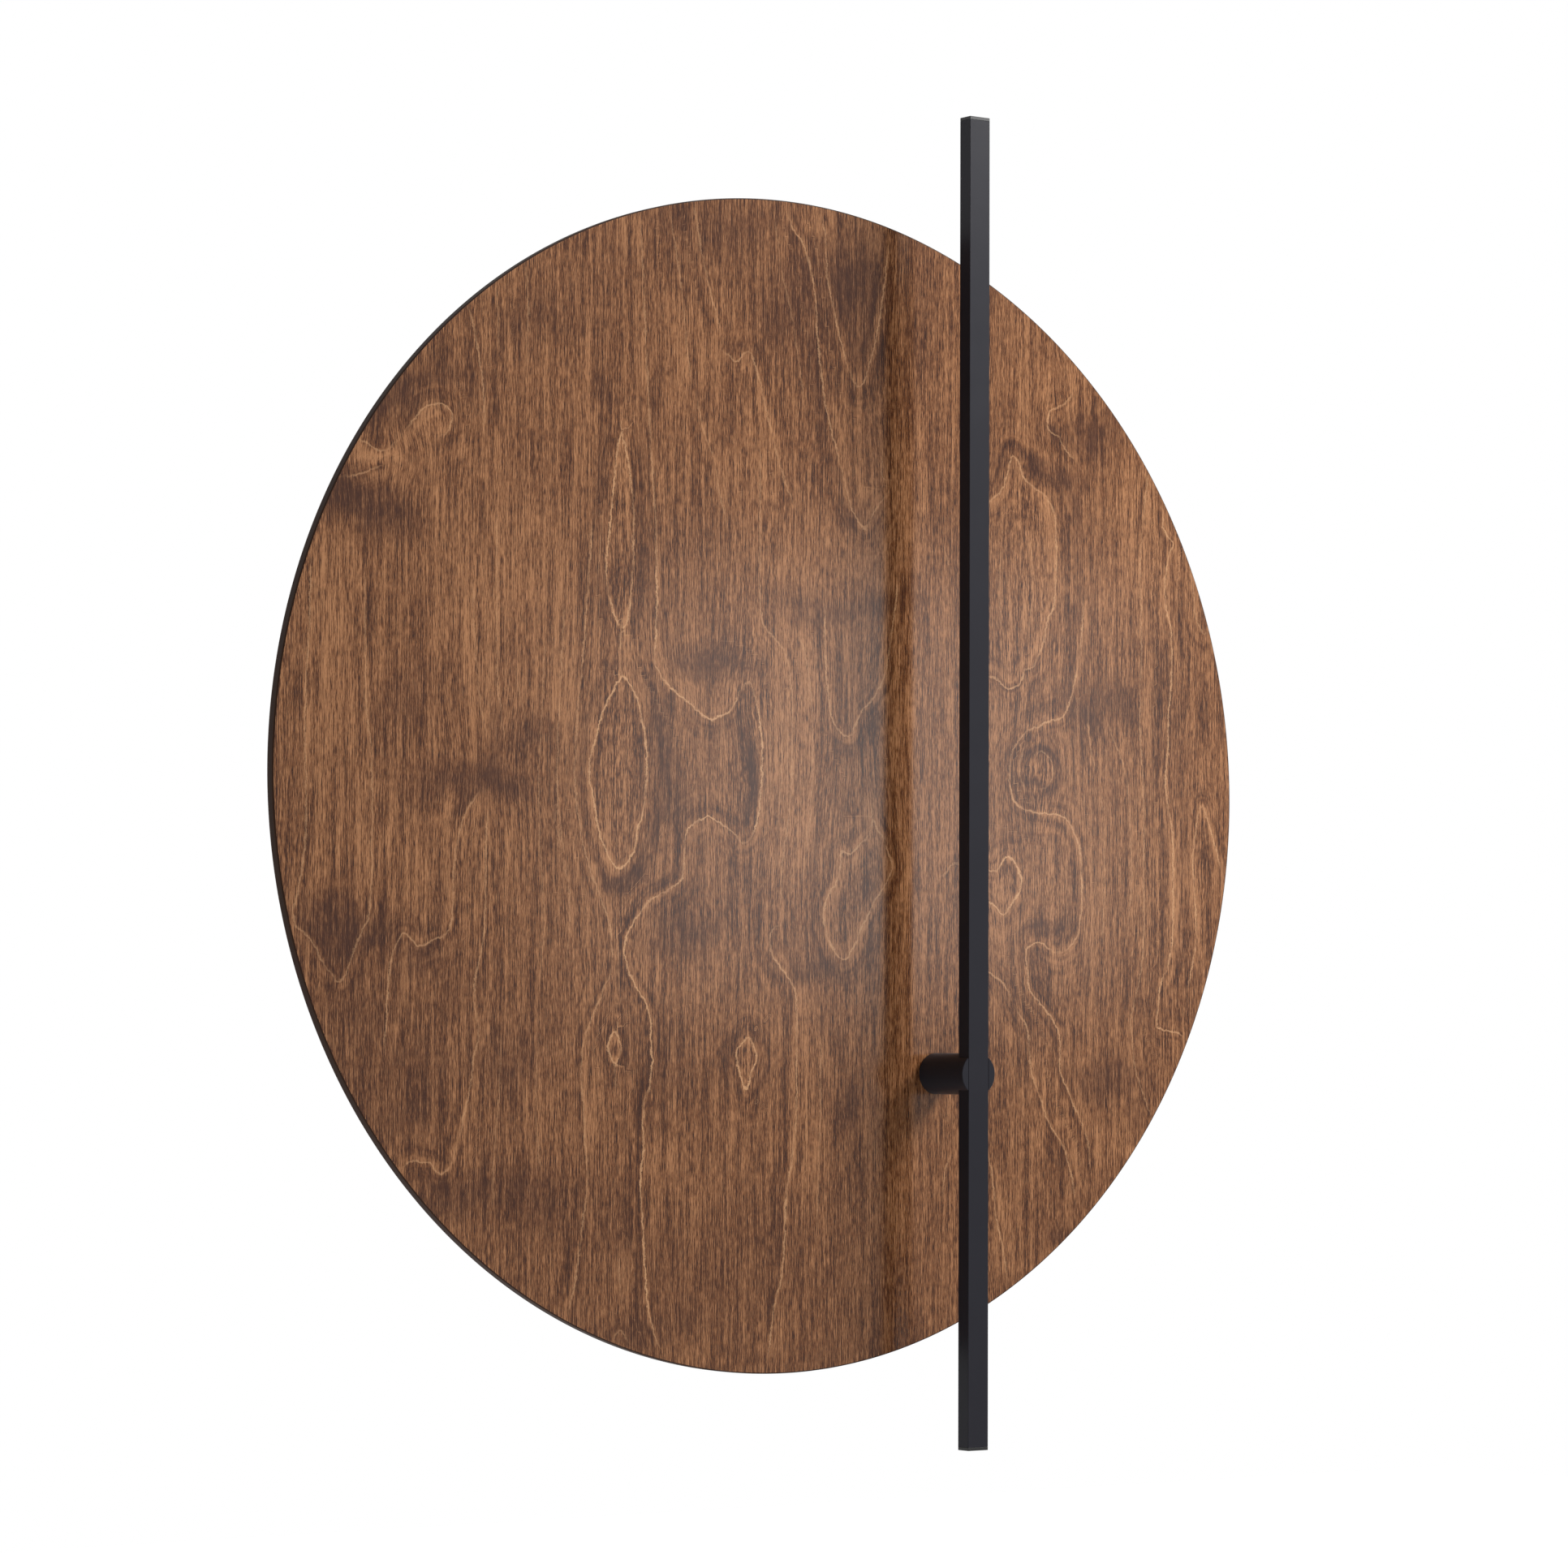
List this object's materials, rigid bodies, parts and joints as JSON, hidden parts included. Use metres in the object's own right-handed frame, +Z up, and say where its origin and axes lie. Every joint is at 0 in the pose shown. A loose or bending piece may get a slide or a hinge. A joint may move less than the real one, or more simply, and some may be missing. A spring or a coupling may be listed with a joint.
{
  "type": "wall lamp",
  "caption": "Round stained plywood disc on a wall canopy, with a slim black light bar that swivels in front of it on one off-centre round post.",
  "frame": {"origin": "on the wall, on the axis of the disc and of the wall plate", "axes": "+Z up and along the light bar at rest, +X to the right as seen from the room, +Y into the wall"},
  "size_m": [0.6999, 0.0795, 0.804],
  "materials": {
    "stained_plywood": "dark brown stained birch plywood under satin clear lacquer",
    "black_painted_steel": "fine matte black powder coat",
    "zinc_steel": "bright zinc plate",
    "black_rubber": "matte",
    "white_plastic": "fine moulded texture",
    "tinned_brass": "bright",
    "supply_insulation": "blue and brown mains insulation",
    "earth_insulation": "green and yellow earth insulation",
    "lead_core_insulation": "red and black low-voltage insulation",
    "black_pvc": "satin",
    "black_nylon": "satin",
    "black_anodised_aluminium": "satin black anodised",
    "raw_aluminium": "milled",
    "opal_diffuser": "opal, light spreading",
    "white_circuit_board": "white solder mask",
    "led_phosphor": "yellow phosphor",
    "black_end_cap": "satin black"
  },
  "bodies": {
    "wall_side": {"disc_panel": "stained_plywood", "canopy_cup": "black_painted_steel", "cup_screws": "zinc_steel", "wall_plate": "black_painted_steel", "canopy_side_screws": "black_painted_steel", "mains_cable_grommet": "black_rubber", "lead_grommet": "black_rubber", "led_driver": "white_plastic", "driver_screws": "zinc_steel", "terminal_block": "white_plastic", "terminal_screws": "zinc_steel", "terminal_fixing_screw": "zinc_steel", "earth_terminal": "tinned_brass", "earth_screw": "tinned_brass", "supply_wires": "supply_insulation", "earth_wire": "earth_insulation", "lamp_lead": "black_pvc", "lead_clips": "black_pvc", "clip_screws": "zinc_steel", "swivel_bush": "black_nylon", "slip_ring": "black_nylon", "stop_pin": "zinc_steel"},
    "light_bar": {"hollow_nipple": "zinc_steel", "stop_washer": "zinc_steel", "spring_washer": "zinc_steel", "lock_nuts": "zinc_steel", "post": "black_anodised_aluminium", "post_screws": "zinc_steel", "bar_profile": "black_anodised_aluminium", "bar_fixing_block": "raw_aluminium", "upper_diffuser": "opal_diffuser", "lower_diffuser": "opal_diffuser", "upper_led_board": "white_circuit_board", "lower_led_board": "white_circuit_board", "upper_led_chips": "led_phosphor", "lower_led_chips": "led_phosphor", "upper_bar_wires": "lead_core_insulation", "lower_bar_wires": "lead_core_insulation", "top_end_cap": "black_end_cap", "bottom_end_cap": "black_end_cap"}
  },
  "joints": [
    {"name": "bar_swivel", "type": "hinge", "parent": "wall_side", "child": "light_bar", "pos_m": [0.115, -0.0365, -0.1725], "axis": [0, -1, 0], "range_deg": [-164, 164]}
  ]
}
